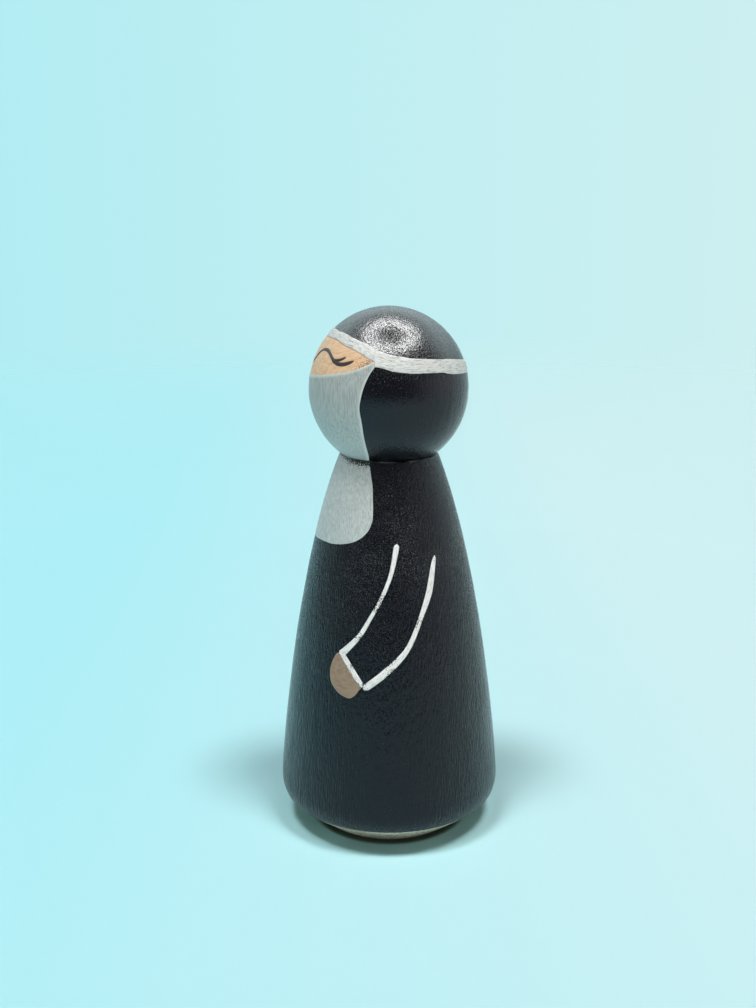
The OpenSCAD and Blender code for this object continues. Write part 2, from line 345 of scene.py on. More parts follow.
# Thickness of a coat in mm: thin at its painted edges and a little piled up just inside them,
# with the grain of the wood showing through.
def coatLift(thickness, edgeShare=1.0, edgeWidth=0.3, ridge=0.02, ridgeSize=(0.9, 0.9, 11), rimBead=0.0):

    def lift(u, v, angle, s, bare, rim):
        soft = edgeShare + (1 - edgeShare) * smoothStep(rim / edgeWidth)
        bead = rimBead * np.exp(-(((rim - edgeWidth * 1.3) / (edgeWidth * 0.6)) ** 2))
        grain = noiseAt(bare, ridgeSize) + 0.5 * noiseAt(bare, [x * 0.45 for x in ridgeSize], 7)
        return thickness * soft + bead + ridge * grain * smoothStep(rim / edgeWidth)

    return lift


# Thickness of a brushed stretch of paint, whose ridges run round the doll.
def brushedLift(thickness, edgeShare, edgeWidth, ridge, along=5.0, across=0.28):

    def lift(u, v, angle, s, bare, rim):
        soft = edgeShare + (1 - edgeShare) * np.sqrt(smoothStep(rim / edgeWidth))
        roundMm = np.radians(angle) * dollSize["aboutRadius"]
        way = np.stack([roundMm / along, s / across, np.zeros_like(s)], -1)
        return thickness * soft + ridge * noiseAt(way, (1, 1, 1), 3) * smoothStep(rim / edgeWidth)

    return lift


# For a side edge: how far up its column each point is, and its degrees.
def shareTable(points, heightOf, low, high):
    line = smoothLine(points)
    z = heightOf(line[:, 1])
    share = (z - low(line[:, 0])) / (high(line[:, 0]) - low(line[:, 0]))
    order = np.argsort(share)
    return share[order], line[order, 0]


# The painted edges on the head. Each has its own straying, by its last number.
def bandTopAt(angle):
    return edgeHeight(bandTop, headHeight, angle, 1.7)


def faceTopAt(angle):
    return edgeHeight(faceTop, headHeight, angle, 4.2)


def faceLowAt(angle):
    return edgeHeight(faceLow, headHeight, angle, 6.1)


# The band's lower edge: over the face in front, along the scarf behind.
def bandLowAt(angle):
    turn = np.abs(angle)
    corner = np.interp(turn, [faceTop[-1][0], bandLow[0][0]], headHeight([faceTop[-1][1], bandLow[0][1]]))
    front, back = faceTopAt(angle), edgeHeight(bandLow, headHeight, angle, 8.8)
    return np.where(turn <= faceTop[-1][0], front, np.where(turn < bandLow[0][0], corner, back))


def veilTopAt(angle):
    turn = np.abs(angle)
    return np.where(turn <= faceLow[-1][0], faceLowAt(angle), bandLowAt(angle))


def neckAt(angle):
    return np.full(np.shape(angle), dollSize["bodyTop"])


# Degrees round the doll brought back to -180 to 180.
def wrapped(angle):
    return (np.asarray(angle) + 180) % 360 - 180


# Coats on the head: thickness, thinning towards the edge and height of the ridges, in mm
capPaint = {"thickness": coat, "ridge": 0.018}


def makeCap():
    def layout(u, v):
        angle = fullTurn * (u - 0.5)
        low = ballSkin.along(bandTopAt(angle))
        return angle, low + (ballSkin.s[-1] - low) * v

    bm = bmesh.new()
    paint = {"edges": (), "lift": coatLift(**capPaint)}
    paintGrid(bm, 300, 44, layout, ballSkin, paint)
    return finishPaint(bm, "capCoat")


bandPaint = {"thickness": 0.25, "edgeShare": 0.62, "edgeWidth": 0.28, "ridge": 0.05}


def makeBand():
    def layout(u, v):
        angle = fullTurn * (u - 0.5)
        low, high = ballSkin.along(bandLowAt(angle)), ballSkin.along(bandTopAt(angle))
        return angle, low + (high - low) * v

    bm = bmesh.new()
    paint = {"edges": ("low", "high"), "lift": brushedLift(**bandPaint)}
    paintGrid(bm, 360, 14, layout, ballSkin, paint)
    return finishPaint(bm, "headBand")


facePaint = {"thickness": coat, "edgeShare": 0.85, "edgeWidth": 0.2, "ridge": 0.012}


def makeFace():
    def layout(u, v):
        reach = faceTop[-1][0]
        angle = reach * (2 * u - 1)
        low, high = ballSkin.along(faceLowAt(angle)), ballSkin.along(faceTopAt(angle))
        return angle, low + (high - low) * v

    bm = bmesh.new()
    paint = {"edges": ("high",), "lift": coatLift(**facePaint)}
    paintGrid(bm, 154, 28, layout, ballSkin, paint)
    return finishPaint(bm, "facePatch")


veilPaint = {
    "thickness": 0.2, "edgeShare": 0.75, "edgeWidth": 0.3,
    "ridge": 0.02, "ridgeSize": (1.2, 1.2, 5), "rimBead": 0.02,
}


def makeVeil():
    share, side = shareTable(veilSide, headHeight, neckAt, veilTopAt)

    def layout(u, v):
        angle = np.interp(v, share, side) * (2 * u - 1)
        top = ballSkin.along(veilTopAt(angle))
        return angle, top * v

    bm = bmesh.new()
    paint = {"edges": ("left", "right", "high"), "lift": coatLift(**veilPaint)}
    paintGrid(bm, 160, 64, layout, ballSkin, paint)
    return finishPaint(bm, "faceVeil")


scarfPaint = {"thickness": coat, "ridge": 0.022}


def makeScarf():
    def topAt(angle):
        turn = np.abs(wrapped(angle))
        return np.where(turn < bandLow[0][0], headHeight(bandLow[0][1]), bandLowAt(turn))

    share, side = shareTable(veilSide, headHeight, neckAt, topAt)

    def layout(u, v):
        start = np.interp(v, share, side)
        angle = start + (fullTurn - 2 * start) * u
        return angle, ballSkin.along(topAt(angle)) * v

    bm = bmesh.new()
    paint = {"edges": (), "lift": coatLift(**scarfPaint)}
    paintGrid(bm, 230, 64, layout, ballSkin, paint)
    return finishPaint(bm, "scarfCoat")


# Coats on the body
# Rows up to the neck: even ones up the side, then one at each point of the corner and shelf.
def upToNeck(bottom, row, rows):
    even = rows - len(cornerS) + 1
    side = bottom + (cornerS[0] - bottom) * row / even
    return np.where(row <= even, side, np.interp(row, even + np.arange(len(cornerS)), cornerS))


def bibLowAt(angle):
    return edgeHeight(bibLow, bodyHeight, angle, 2.9)


bibPaint = {**veilPaint, "ridge": 0.018}


def makeBib():
    rows = 72
    share, side = shareTable(bibSide, bodyHeight, bibLowAt, neckAt)

    def layout(u, v):
        angle = np.interp(v * rows / (rows - len(cornerS) + 1), share, side) * (2 * u - 1)
        return angle, upToNeck(skirtSkin.along(bibLowAt(angle)), v * rows, rows)

    bm = bmesh.new()
    paint = {"edges": ("left", "right", "low"), "lift": coatLift(**bibPaint)}
    paintGrid(bm, 130, rows, layout, skirtSkin, paint)
    return finishPaint(bm, "bibCoat")


robePaint = {
    "thickness": coat, "edgeShare": 0.7, "edgeWidth": 0.5, "ridge": 0.03, "ridgeSize": (1.0, 1.0, 14),
}


# Two sheets: one under the bib, one round the back and beside the bib.
def makeRobe():
    widest = bibSide[0][0]
    seamTop = skirtSkin.along(bodyHeight(bibSide[0][1]))
    lowRows, highRows = 98, 26
    line = smoothLine(bibSide)
    sideS = skirtSkin.along(bodyHeight(line[:, 1]))

    def under(u, v):
        angle = widest * (2 * u - 1)
        return angle, skirtSkin.along(bibLowAt(angle)) * v

    def around(u, v):
        row = v * (lowRows + highRows)
        s = np.where(row <= lowRows, seamTop * row / lowRows, upToNeck(seamTop, row - lowRows, highRows))
        start = np.interp(s, sideS, line[:, 0])
        return start + (fullTurn - 2 * start) * u, s

    bm = bmesh.new()
    lift = coatLift(**robePaint)

    def hemLift(u, v, angle, s, bare, rim):  # thin towards the hem alone
        return lift(u, v, angle, s, bare, s)

    paintGrid(bm, 150, lowRows, under, skirtSkin, {"edges": ("low",), "lift": hemLift})
    paintGrid(bm, 210, lowRows + highRows, around, skirtSkin, {"edges": ("low",), "lift": hemLift})
    return finishPaint(bm, "robeCoat")


# Strokes on top of the coats, in mm. ragged is how much their sides stray, as a share of the width.
sleeveStroke = {
    "width": 0.85, "cuffWidth": 0.8, "under": coat, "thick": 0.13, "ridge": 0.02, "ragged": 0.03,
}
eyeStroke = {
    "width": 0.6, "lashWidth": 0.5, "under": coat, "thick": 0.1, "ridge": 0.02, "ragged": 0.08,
}


def strokeGrid(bm, line, width, skin, heightOf, stroke, columns=120, rows=10):
    path = smoothLine(line)
    pathS = skin.along(heightOf(path[:, 1]))
    steps = np.linalg.norm(np.diff(skin.place(path[:, 0], pathS, 0), axis=0), axis=1)
    length = np.concatenate([[0], np.cumsum(steps)])
    step = np.linspace(0, length[-1], 400)
    angle = np.interp(step, length, path[:, 0])
    s = np.interp(step, length, pathS)
    wide = np.interp(step, length, path[:, 2]) * width / 2
    perDegree = skin.radius(heightOf(np.interp(step, length, path[:, 1]))) * pi / 180
    alongA, alongS = np.gradient(angle) * perDegree, np.gradient(s)
    size = np.hypot(alongA, alongS)
    acrossA, acrossS = alongS / size, -alongA / size
    share = step / length[-1]
    fromEnd = np.minimum(step, length[-1] - step)
    tip = np.sqrt(np.clip(fromEnd / (width * 0.45) + 0.02, 0, 1))  # round ends

    def layout(u, v):
        way = np.stack([u * length[-1] / 0.7, np.sign(v - 0.5), np.zeros_like(u)], -1)
        reach = np.interp(u, share, wide * tip) * (2 * v - 1)
        reach = reach * (1 + stroke["ragged"] * noiseAt(way, (1, 1, 1), 5))
        return (
            np.interp(u, share, angle) + reach * np.interp(u, share, acrossA / perDegree),
            np.interp(u, share, s) + reach * np.interp(u, share, acrossS),
        )

    def lift(u, v, angle, s, bare, rim):
        dome = np.sqrt(np.clip(1 - (2 * v - 1) ** 4, 0, 1)) * np.interp(u, share, tip)
        way = np.stack([u * length[-1] / 3.5, v * 3, np.zeros_like(u)], -1)
        ridge = stroke["ridge"] * noiseAt(way, (1, 1, 1), 11)
        return stroke["under"] + (stroke["thick"] + ridge) * dome

    paint = {"edges": ("low", "high"), "lift": lift, "under": stroke["under"] - sunk}
    paintGrid(bm, columns, rows, layout, skin, paint)


def makeStroke(name, line, width, skin, heightOf, stroke, mirror):
    bm = bmesh.new()
    strokeGrid(bm, line, width, skin, heightOf, stroke)
    piece = finishPaint(bm, name, 0.002)
    return mirrored(piece) if mirror else piece


# The same stroke on the doll's right side.
def mirrored(piece):
    bm = bmesh.new()
    bm.from_mesh(piece.data)
    bmesh.ops.transform(bm, matrix=Matrix.Scale(-1, 4, (1, 0, 0)), verts=bm.verts)
    bmesh.ops.recalc_face_normals(bm, faces=bm.faces)
    bm.to_mesh(piece.data)
    bm.free()
    return piece


# The closed lid with its outer lash.
def makeEye(name, mirror):
    bm = bmesh.new()
    strokeGrid(bm, eyeLine, eyeStroke["width"], ballSkin, headHeight, eyeStroke, 130, 8)
    strokeGrid(bm, lashLine, eyeStroke["lashWidth"], ballSkin, headHeight, eyeStroke, 40, 8)
    piece = finishPaint(bm, name, 0.002)
    return mirrored(piece) if mirror else piece


handPaint = {
    "thickness": 0.11, "edgeShare": 0.3, "edgeWidth": 0.25, "ridge": 0.015, "ridgeSize": (0.8, 0.8, 4),
}


# The hand reaches a little under the cuff, and its lower edge is dabbed on.
def makeHand(name, mirror):
    edge = smoothLine(handEdge)
    wrist = smoothLine(cuffLine)
    handShare = np.linspace(0, 1, len(edge))
    wristShare = np.linspace(0, 1, len(wrist))

    def layout(u, v):
        way = np.stack([v * 60, u * 0, u * 0], -1)
        ragged = 0.35 * np.clip((v - 0.66) / 0.2, 0, 1) * noiseAt(way, (1, 1, 1), 3)
        outerA = np.interp(v, handShare, edge[:, 0])
        outerZ = bodyHeight(np.interp(v, handShare, edge[:, 1])) + ragged
        innerA = np.interp(v, wristShare, wrist[:, 0]) - 0.9  # degrees
        innerZ = bodyHeight(np.interp(v, wristShare, wrist[:, 1])) - 0.2  # mm
        angle = outerA + (innerA - outerA) * u
        return angle, skirtSkin.along(outerZ + (innerZ - outerZ) * u)

    bm = bmesh.new()
    lift = coatLift(**handPaint)

    def onRobe(u, v, angle, s, bare, rim):
        return coat + lift(u, v, angle, s, bare, rim)

    paintGrid(bm, 30, 60, layout, skirtSkin, {"edges": ("left",), "lift": onRobe, "under": coat - sunk})
    piece = finishPaint(bm, name, 0.002)
    return mirrored(piece) if mirror else piece


# Turned wood
def spinSolid(name, outline, steps=160):
    bm = bmesh.new()
    verts = [bm.verts.new((r * mm, 0, z * mm)) for r, z in outline]
    edges = [bm.edges.new(pair) for pair in zip(verts, verts[1:])]
    bmesh.ops.spin(
        bm, geom=verts + edges, cent=(0, 0, 0), axis=(0, 0, 1), angle=2 * pi, steps=steps, use_merge=True
    )
    bmesh.ops.remove_doubles(bm, verts=bm.verts, dist=0.001 * mm)
    return smoothObject(bm, name, 40)


dowelHole = {"radius": 3.25, "depth": 9.3}  # mm


def makeWoodBody():
    base = dollSize["baseRadius"]
    soft = dollSize["baseRim"]
    rim = [(base - soft + soft * sin(w), soft - soft * cos(w)) for w in np.linspace(0, radians(60), 5)]
    skirt = [p for p in neckedOutline(0) if p[1] > soft]
    hole = [
        (dowelHole["radius"], dollSize["bodyTop"]),
        (dowelHole["radius"], dollSize["bodyTop"] - dowelHole["depth"]),
        (0, dollSize["bodyTop"] - dowelHole["depth"]),
    ]
    rings = [(base * i / 6, 0) for i in range(6)]
    return spinSolid("woodBody", rings + rim + skirt + hole)


def makeWoodHead():
    hole = [
        (0, dollSize["bodyTop"] + dowelHole["depth"]),
        (dowelHole["radius"], dollSize["bodyTop"] + dowelHole["depth"]),
        (dowelHole["radius"], dollSize["bodyTop"]),
    ]
    return spinSolid("woodHead", hole + ballOutline(48), 96)


# Materials
# An sRGB hex colour as linear light.
def paintColour(hexText):
    parts = [int(hexText[i:i + 2], 16) / 255 for i in (1, 3, 5)]
    return [c / 12.92 if c <= 0.04045 else ((c + 0.055) / 1.055) ** 2.4 for c in parts] + [1]


# Adds a node, with settings by input or property name and links by input.
def addNode(tree, kind, settings=None, links=None):
    node = tree.nodes.new(kind)
    for key, value in (settings or {}).items():
        if isinstance(key, str) and key not in node.inputs:
            setattr(node, key, value)
        else:
            node.inputs[key].default_value = value
    for key, socket in (links or {}).items():
        tree.links.new(socket, node.inputs[key])
    return node


def newMaterial(name):
    material = bpy.data.materials.new(name)
    material.use_nodes = True
    material.node_tree.nodes.clear()
    return material, material.node_tree


# Noise scale for a pattern whose grain is so many mm wide, on coordinates in metres.
def perMm(size):
    return 1 / (size * mm)


# Noise drawn out along the turning axis, as the grain of the wood is, in mm.
def grainNoise(tree, across, along, detail=2.0, seed=0.0):
    coords = addNode(tree, "ShaderNodeTexCoord").outputs["Object"]
    placing = {"Scale": (1, 1, across / along), "Location": (seed, seed / 2, 0)}
    stretched = addNode(tree, "ShaderNodeMapping", placing, {"Vector": coords}).outputs["Vector"]
    pattern = {"Scale": perMm(across), "Detail": detail, "Roughness": 0.55}
    return addNode(tree, "ShaderNodeTexNoise", pattern, {"Vector": stretched}).outputs["Fac"]


# Links a socket, or types in a number or colour.
def feed(tree, target, value):
    if isinstance(value, bpy.types.NodeSocket):
        tree.links.new(value, target)
    else:
        target.default_value = paintColour(value) if isinstance(value, str) else value


# From the first colour to the second, each a socket or a hex text.
def mixColour(tree, factor, first, second):
    node = addNode(tree, "ShaderNodeMix", {"data_type": "RGBA", "clamp_factor": True}, {0: factor})
    feed(tree, node.inputs[6], first)
    feed(tree, node.inputs[7], second)
    return node.outputs[2]


# Brings value to 0 at low and 1 at high.
def ramp(tree, value, low, high):
    limits = {"From Min": low, "From Max": high, "clamp": True}
    return addNode(tree, "ShaderNodeMapRange", limits, {"Value": value}).outputs["Result"]


# Stacks bumps: each layer is a height socket and its height in mm.
def bumpChain(tree, layers):
    normal = None
    for height, tall in layers:
        links = {"Height": height}
        if normal:
            links["Normal"] = normal
        bump = addNode(tree, "ShaderNodeBump", {"Strength": 1.0, "Distance": tall * mm}, links)
        normal = bump.outputs["Normal"]
    return normal


def finishMaterial(tree, settings, links):
    shader = addNode(tree, "ShaderNodeBsdfPrincipled", settings, links)
    addNode(tree, "ShaderNodeOutputMaterial", None, {"Surface": shader.outputs["BSDF"]})


# A step of arithmetic on two sockets or numbers.
def combine(tree, operation, first, second):
    node = addNode(tree, "ShaderNodeMath", {"operation": operation})
    feed(tree, node.inputs[0], first)
    feed(tree, node.inputs[1], second)
    return node.outputs[0]


def times(tree, first, second):
    return combine(tree, "MULTIPLY", first, second)


def plus(tree, first, second):
    return combine(tree, "ADD", first, second)


# Place along one of the doll's axes in mm, as a socket.
def placeMm(tree, axis):
    coords = addNode(tree, "ShaderNodeTexCoord").outputs["Object"]
    place = addNode(tree, "ShaderNodeSeparateXYZ", None, {"Vector": coords}).outputs[axis]
    return combine(tree, "DIVIDE", place, mm)


# Distance in mm from the plane between the doll's left and right, as a socket.
def sidewaysMm(tree):
    return combine(tree, "ABSOLUTE", placeMm(tree, "X"), 0)


blackFinish = {
    "base": "#07080a",
    "worn": "#0f1115",          # on the ridges of the grain
    "wornRange": (0.45, 0.75),
    # painted highlight along the neck shelf's edge: its colour and the size of its patches
    "neckHighlight": "#7d8a92",
    "neckHighlightPatch": 3,           # mm
    "grain": 0.28,              # mm across and along
    "grainLong": 1.9,
    "peel": 0.32,               # mm, fine waves of the varnish
    "peelTall": 0.03,
    "pit": 0.22,                # mm
    "pitCrowding": 0.16,        # how much thicker they come above the second pitted height
    "smooth": 0.1,              # roughness beside the pits and in them
    "matt": 0.75,
    # painted glints: pale specks on the black, their size, how many and where they come thicker
    "glintSpeck": "#545854",
    "glintSpeckSize": 0.17,           # mm
    "glintSpeckRange": (0.72, 0.79),
    "glintSpeckCrowding": 0.14,
    "glintSpeckPatch": (7, 9),        # mm across and along
}


# Black craft acrylic under gloss varnish: nearly black, the raised grain waves the shine
# and fine pits where the varnish sank in break it up into specks
def blackGlossAcrylic(name, look):
    material, tree = newMaterial(name)
    black = blackFinish
    grain = grainNoise(tree, black["grain"], black["grainLong"], 2)
    peel = grainNoise(tree, black["peel"], black["peel"], 1, 0.3)
    pits = grainNoise(tree, black["pit"], black["pit"] * 0.8, 1, 0.5)
    height = placeMm(tree, "Z")
    level = plus(tree, pits, times(tree, ramp(tree, height, *look["pitted"]), black["pitCrowding"]))
    pitted = ramp(tree, level, look["pitLevel"], look["pitLevel"] + 0.1)
    rough = plus(tree, times(tree, pitted, black["matt"] - black["smooth"]), black["smooth"])
    colour = mixColour(tree, ramp(tree, grain, *black["wornRange"]), black["base"], black["worn"])
    if "glintSpeckled" in look:  # painted glints: pale specks, in patches between these heights, fewer towards both
        low, most, high = look["glintSpeckled"]
        where = combine(tree, "MINIMUM", ramp(tree, height, low, most), ramp(tree, height, high, most))
        patches = grainNoise(tree, *black["glintSpeckPatch"], 1, 0.8)
        where = times(tree, where, ramp(tree, patches, 0.3, 0.6))
        glintSpeck = grainNoise(tree, black["glintSpeckSize"], black["glintSpeckSize"], 1, 0.7)
        glintSpeck = plus(tree, glintSpeck, times(tree, where, black["glintSpeckCrowding"]))
        colour = mixColour(tree, ramp(tree, glintSpeck, *black["glintSpeckRange"]), colour, black["glintSpeck"])
    if "neckHighlightAbove" in look:  # painted highlight: pale grey in patches along the sharp edge of the neck shelf
        patches = grainNoise(tree, black["neckHighlightPatch"], black["neckHighlightPatch"], 1, 0.4)
        neckHighlight = ramp(tree, height, look["neckHighlightAbove"], look["neckHighlightAbove"] + 0.06)
        neckHighlight = times(tree, neckHighlight, ramp(tree, patches, 0.35, 0.6))
        colour = mixColour(tree, neckHighlight, colour, black["neckHighlight"])
    bumps = [(grain, look["grainTall"]), (peel, black["peelTall"])]
    finishMaterial(
        tree,
        {"IOR": look["varnish"], "Specular Tint": look["tint"]},
        {"Base Color": colour, "Roughness": rough, "Normal": bumpChain(tree, bumps)},
    )
    return material


brushFinish = {
    "varnish": 1.48,
    "grain": (0.3, 4.0),         # mm across and along, the wood under the paint
    "grainTall": 0.015,
    "fine": 0.2,                 # mm, the brush's own fine marks
    "fineTall": 0.012,
    "skipPatch": 2.6,            # mm, stretches of a stroke that the dry brush skipped
    "skipGrain": (0.17, 0.21),
    "skipSide": 0.16,            # how much thicker the specks come at the sides of the stroke
    "skipMiddle": 0.06,
    "skipReach": 0.4,            # mm in from the side
    "runGrain": (0.2, 0.26),     # mm, specks that ran down from the neck
    "runReach": (0.38, 0.23),    # how thick they come in front, and how much more to the sides
    "runRange": (0.92, 0.97),
    "cornerFrom": (9.3, 11.7),   # mm to the side where the undercoat begins to show, and shows most
    "cornerGrain": 0.18,
    "cornerCrowding": 0.42,
    "cornerRange": (0.86, 0.92),
}


# Craft acrylic laid on with a small brush: streaky, with a rim where the brush ended
def brushedAcrylic(name, paint):
    material, tree = newMaterial(name)
    brush = brushFinish
    if "long" in paint:  # strokes drawn up and down, in mm
        streaks = grainNoise(tree, paint["width"], paint["long"], 3, 0.6)
    else:
        uv = addNode(tree, "ShaderNodeUVMap", {"uv_map": "brush"}).outputs["UV"]
        streaked = addNode(tree, "ShaderNodeMapping", {"Scale": paint["scale"]}, {"Vector": uv})
        pattern = {"Scale": perMm(paint["width"]), "Detail": 3, "Roughness": 0.6, "Distortion": 0.4}
        links = {"Vector": streaked.outputs["Vector"]}
        streaks = addNode(tree, "ShaderNodeTexNoise", pattern, links).outputs["Fac"]
    grain = grainNoise(tree, *brush["grain"], 2)
    fine = grainNoise(tree, brush["fine"], brush["fine"], 2, 0.2)
    rim = addNode(tree, "ShaderNodeAttribute", {"attribute_name": "rim"}).outputs["Fac"]
    body = mixColour(tree, ramp(tree, streaks, paint["from"], paint["to"]), paint["thin"], paint["base"])
    raggedRim = plus(tree, rim, times(tree, fine, paint["rim"]))
    atRim = ramp(tree, raggedRim, paint["rim"] * 1.5, paint["rim"] * 0.7)
    colour = mixColour(tree, atRim, body, paint["rimColour"])
    if "skipLevel" in paint:  # specks in patches, most of them at the sides of the stroke
        patches = grainNoise(tree, brush["skipPatch"], brush["skipPatch"], 0, paint["skipSeed"])
        side = times(tree, ramp(tree, rim, brush["skipReach"], 0.0), brush["skipSide"])
        dry = times(tree, ramp(tree, patches, 0.5, 0.62), plus(tree, side, brush["skipMiddle"]))
        dry = plus(tree, dry, grainNoise(tree, *brush["skipGrain"], 2, 0.7))
        skipped = ramp(tree, dry, paint["skipLevel"], paint["skipLevel"] + 0.05)
        colour = mixColour(tree, skipped, colour, paint["skipColour"])
    if "runFrom" in paint:  # black specks that ran down from the neck, in mm above the base
        middle, more = brush["runReach"]
        sideways = ramp(tree, sidewaysMm(tree), 2.5, 7)
        reach = ramp(tree, placeMm(tree, "Z"), paint["runFrom"], dollSize["bodyTop"])
        reach = times(tree, reach, plus(tree, middle, times(tree, sideways, more)))
        run = plus(tree, reach, grainNoise(tree, *brush["runGrain"], 2, 0.9))
        colour = mixColour(tree, ramp(tree, run, *brush["runRange"]), colour, paint["runColour"])
    if "cornerColour" in paint:  # the undercoat shows in specks towards the outer corners
        corner = ramp(tree, sidewaysMm(tree), *brush["cornerFrom"])
        specks = grainNoise(tree, brush["cornerGrain"], brush["cornerGrain"], 2, 0.4)
        specks = plus(tree, times(tree, corner, brush["cornerCrowding"]), specks)
        colour = mixColour(tree, ramp(tree, specks, *brush["cornerRange"]), colour, paint["cornerColour"])
    bumps = [(grain, brush["grainTall"]), (streaks, paint["height"]), (fine, brush["fineTall"])]
    finishMaterial(
        tree,
        {"IOR": brush["varnish"], "Roughness": paint["rough"]},
        {"Base Color": colour, "Normal": bumpChain(tree, bumps)},
    )
    return material


woodFinish = {
    "pale": "#beb4a3", "dark": "#a79b8a", "pore": "#2f281f",
    "ring": 1.6,                 # mm from ring to ring
    "centre": (0.03, 0.012, 0),  # m, the tree's middle lies off the turning axis
    "grain": (0.32, 1.1),        # mm across and along a pore
    "poreRange": (0.56, 0.61),
    "poreTall": 0.03,            # mm
    "polish": 1.5, "rough": 0.62,
}


# Turned pale hardwood, sanded and unpainted: fine pores along the grain and faint growth rings.
def bareWood():
    material, tree = newMaterial("bareTurnedWood")
    coords = addNode(tree, "ShaderNodeTexCoord").outputs["Object"]
    placing = {"Location": woodFinish["centre"], "Scale": (1, 1, 0.05)}
    centred = addNode(tree, "ShaderNodeMapping", placing, {"Vector": coords})
    pattern = {
        "wave_type": "RINGS", "rings_direction": "Z", "Scale": perMm(woodFinish["ring"]) / 20,
        "Distortion": 1.5, "Detail": 2, "Detail Scale": 2,
    }
    links = {"Vector": centred.outputs["Vector"]}
    rings = addNode(tree, "ShaderNodeTexWave", pattern, links).outputs["Fac"]
    pores = grainNoise(tree, *woodFinish["grain"], 2)
    tone = mixColour(tree, ramp(tree, rings, 0.2, 0.9), woodFinish["pale"], woodFinish["dark"])
    colour = mixColour(tree, ramp(tree, pores, *woodFinish["poreRange"]), tone, woodFinish["pore"])
    finishMaterial(
        tree,
        {"IOR": woodFinish["polish"], "Roughness": woodFinish["rough"]},
        {"Base Color": colour, "Normal": bumpChain(tree, [(pores, woodFinish["poreTall"])])},
    )
    return material


# Camera, light and floor
photoView = {
    "lens": 42.57,       # mm on a 36 mm long side
    "azimuth": 88,       # degrees from the doll's front to its left
    "distance": 195.4,   # mm from the turning axis
    "height": 104.4,     # mm above the floor
    "down": 13.95,       # degrees below the horizon
    "aimLeft": 0.54,     # degrees left of the turning axis
    "roll": -0.18,       # degrees
}


def placeCamera():
    data = bpy.data.cameras.new("photoCamera")
    data.sensor_width = 36
    data.lens = photoView["lens"]
    data.clip_start, data.clip_end = 0.01, 20
    camera = bpy.data.objects.new("photoCamera", data)
    scene.collection.objects.link(camera)
    turn = radians(photoView["azimuth"])
    camera.location = Vector((
        photoView["distance"] * sin(turn), -photoView["distance"] * cos(turn), photoView["height"]
    )) * mm
    aim = Matrix.Rotation(turn + radians(photoView["aimLeft"]), 4, "Z")
    tilt = Matrix.Rotation(pi / 2 - radians(photoView["down"]), 4, "X")
    roll = Matrix.Rotation(radians(photoView["roll"]), 4, "Z")
    camera.rotation_euler = (aim @ tilt @ roll).to_euler()
    scene.camera = camera


studio = {
    "backLeft": "#a7ecf4",      # backdrop on the side of the doll's front
    "backRight": "#d4f0f0",
    "wallLeft": "#9db4ba",      # what the gloss sees beside the doll
    "wallRight": "#e9f8fa",
    "wallBack": "#c3e4e8",
    "room": "#666d80",          # the dimmer room behind the camera
    "ceilingBack": "#dff7fd",
    "ceilingStrength": 1.7,
    "ceilingFront": "#6c7276",
    "softFront": "#f4e9e2",     # what lights the paint: warm from the camera's side, dim from above
    "softBack": "#a9b6bb",
    "softTop": "#3b4144",
    "softStrength": 3.4,
    "floorLeft": "#b3f5fd",
    "floorRight": "#d6f7f9",
    "floorContactShade": "#4c6457",  # painted contact shadow right at the base, from ambient occlusion
    "contactShadeWidth": 1.25,       # mm
    "floorRadius": 1.3,         # m, and where it fades into the backdrop
    "floorFade": (0.2, 0.8),
    "ringHeight": 700,          # mm, the ring lamp over the doll
    "ringRadius": 282,
    "ringTowards": 62,          # mm nearer the camera than the doll
    "ringBehind": 22,           # mm towards the doll's back
    "ringLamps": 20,
    "lampWidth": 150,           # mm
    "lampPower": 0.6,
    "overhead": 0.905,          # share of the level that the two lamps overhead give
    "overheadWidth": 13,        # degrees
    "overheadTilt": 11.5,       # degrees towards the camera's side
    "overheadSpread": 13,       # degrees that each stands to one side
}


# A soft light tent: paler to one side, dimmer behind the camera, plain where the camera looks.
# The ramps run along the doll's own axes: X to its left, Y to its back, Z up.
def lightWorld():
    world = bpy.data.worlds.new("lightTent")
    scene.world = world
    world.use_nodes = True
    tree = world.node_tree
    tree.nodes.clear()
    direction = addNode(tree, "ShaderNodeTexCoord").outputs["Generated"]
    axes = addNode(tree, "ShaderNodeSeparateXYZ", None, {"Vector": direction}).outputs
    colours = {name: paintColour(studio[name]) for name in studio if str(studio[name]).startswith("#")}
    sides = mixColour(tree, ramp(tree, axes["Y"], -0.6, 0.6), colours["wallLeft"], colours["wallRight"])
    walls = mixColour(tree, ramp(tree, axes["X"], -0.2, -0.8), sides, colours["wallBack"])
    room = mixColour(tree, ramp(tree, axes["X"], 0.45, 0.85), walls, colours["room"])
    back = [c * studio["ceilingStrength"] for c in colours["ceilingBack"][:3]] + [1]
    high = mixColour(tree, ramp(tree, axes["Z"], 0.6, 0.9), back, colours["ceilingFront"])
    ceiling = mixColour(tree, ramp(tree, axes["X"], -0.35, 0.1), high, colours["ceilingFront"])
    tent = mixColour(tree, ramp(tree, axes["Z"], 0.2, 0.5), room, ceiling)
    plain = mixColour(tree, ramp(tree, axes["Y"], -0.5, 0.5), colours["backLeft"], colours["backRight"])
    front = [c * studio["softStrength"] for c in colours["softFront"][:3]] + [1]
    soft = mixColour(tree, ramp(tree, axes["X"], -0.1, 0.4), colours["softBack"], front)
    soft = mixColour(tree, ramp(tree, axes["Z"], 0.06, 0.2), soft, colours["softTop"])
    path = addNode(tree, "ShaderNodeLightPath").outputs
    light = mixColour(tree, path["Is Glossy Ray"], soft, tent)
    colour = mixColour(tree, path["Is Camera Ray"], light, plain)
    background = addNode(tree, "ShaderNodeBackground", {"Strength": 1.0}, {"Color": colour})
    addNode(tree, "ShaderNodeOutputWorld", None, {"Surface": background.outputs["Background"]})


